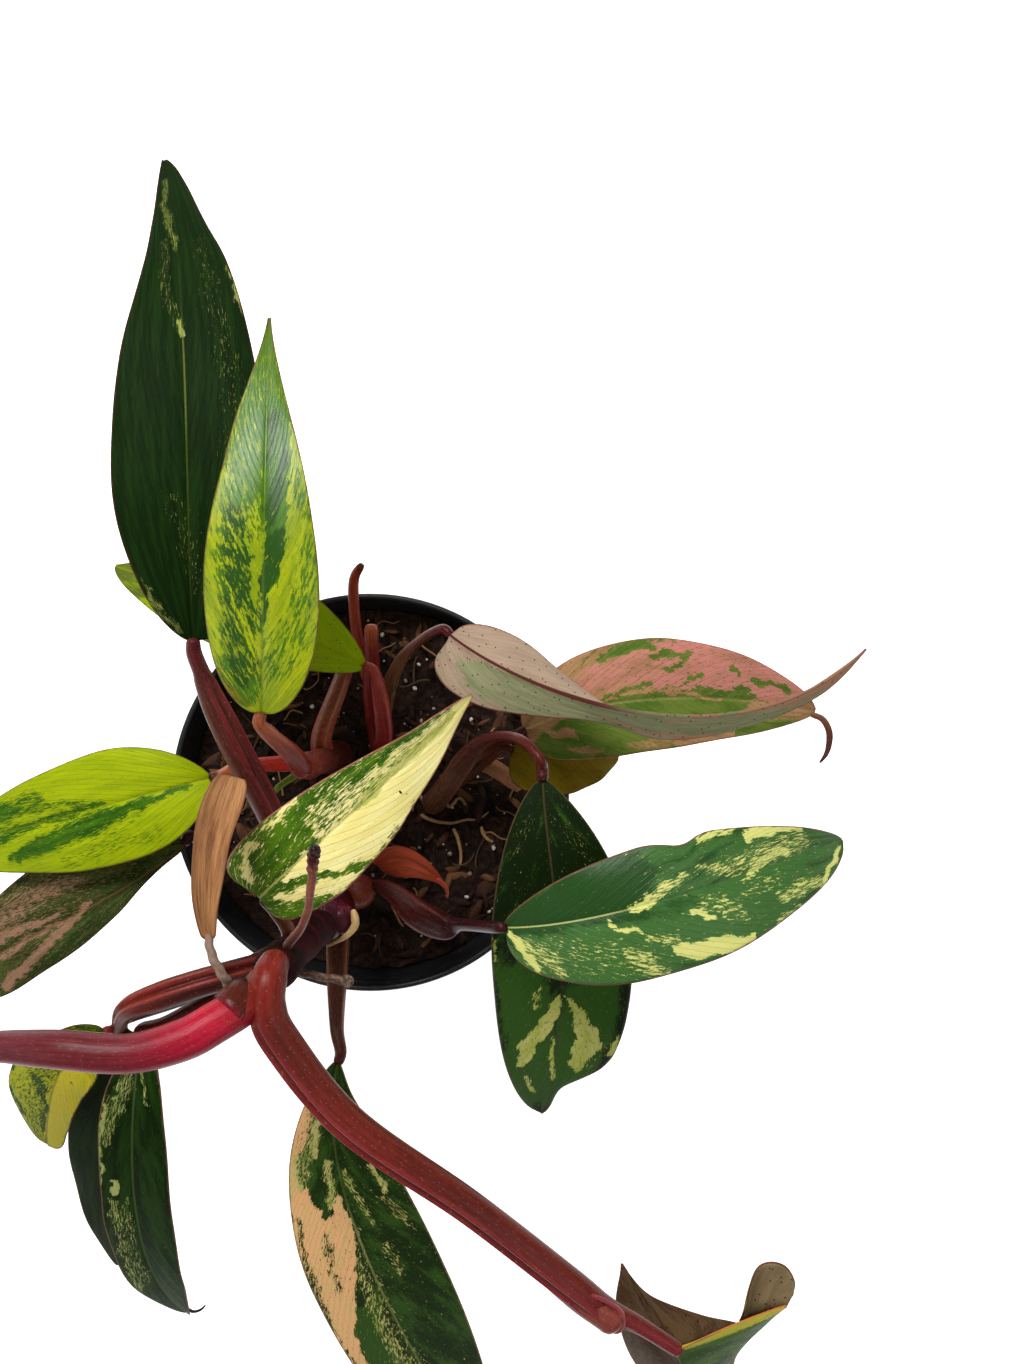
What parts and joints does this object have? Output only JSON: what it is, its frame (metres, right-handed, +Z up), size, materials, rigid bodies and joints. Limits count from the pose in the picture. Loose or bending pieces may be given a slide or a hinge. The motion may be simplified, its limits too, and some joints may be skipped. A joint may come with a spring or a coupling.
{
  "type": "potted caramel apple philodendron",
  "caption": "Vining house plant with variegated green, cream and caramel leaves on red stalks, growing in a round black nursery pot filled with soil.",
  "frame": {"origin": "centre of the pot's flat underside", "axes": "+Z up through the middle of the pot; -Y towards the lower edge of the picture, which looks straight down"},
  "size_m": [0.3577, 0.4358, 0.2552],
  "materials": {
    "pot": "satin black moulded plastic",
    "soil": "damp bark and peat potting mix",
    "stalk_red": "smooth waxy red stalk",
    "stalk_brown": "smooth waxy brown-red stalk",
    "root": "dry ringed brown root",
    "sheath_tan": "dry papery tan sheath",
    "sheath_rust": "thin rust-coloured sheath",
    "leaf_dark": "waxy dark green leaf with pale speckles",
    "leaf_lime": "waxy yellow-green leaf with green patches",
    "leaf_cream": "waxy cream and green leaf",
    "leaf_pink": "waxy pink and green leaf",
    "leaf_olive": "waxy olive leaf"
  },
  "bodies": {
    "root": {"pot": "pot", "soil": "soil", "shoot_front": "stalk_red", "shoot_back": "stalk_red", "shoot_north": "stalk_red", "shoot_east": "stalk_brown", "aerial_root": "root", "dried_root": "root", "cataphyll_tan": "sheath_tan", "cataphyll_rust": "sheath_rust", "leaf_01": "leaf_dark", "leaf_02": "leaf_lime", "leaf_03": "leaf_lime", "leaf_04": "leaf_lime", "leaf_05": "leaf_cream", "leaf_06": "leaf_dark", "leaf_07": "leaf_olive", "leaf_08": "leaf_dark", "leaf_09": "leaf_dark", "leaf_10": "leaf_dark", "leaf_11": "leaf_dark", "leaf_12": "leaf_dark", "leaf_13": "leaf_pink", "leaf_14": "leaf_pink", "leaf_15": "leaf_olive", "leaf_16": "leaf_olive", "leaf_17": "leaf_dark"}
  },
  "joints": []
}
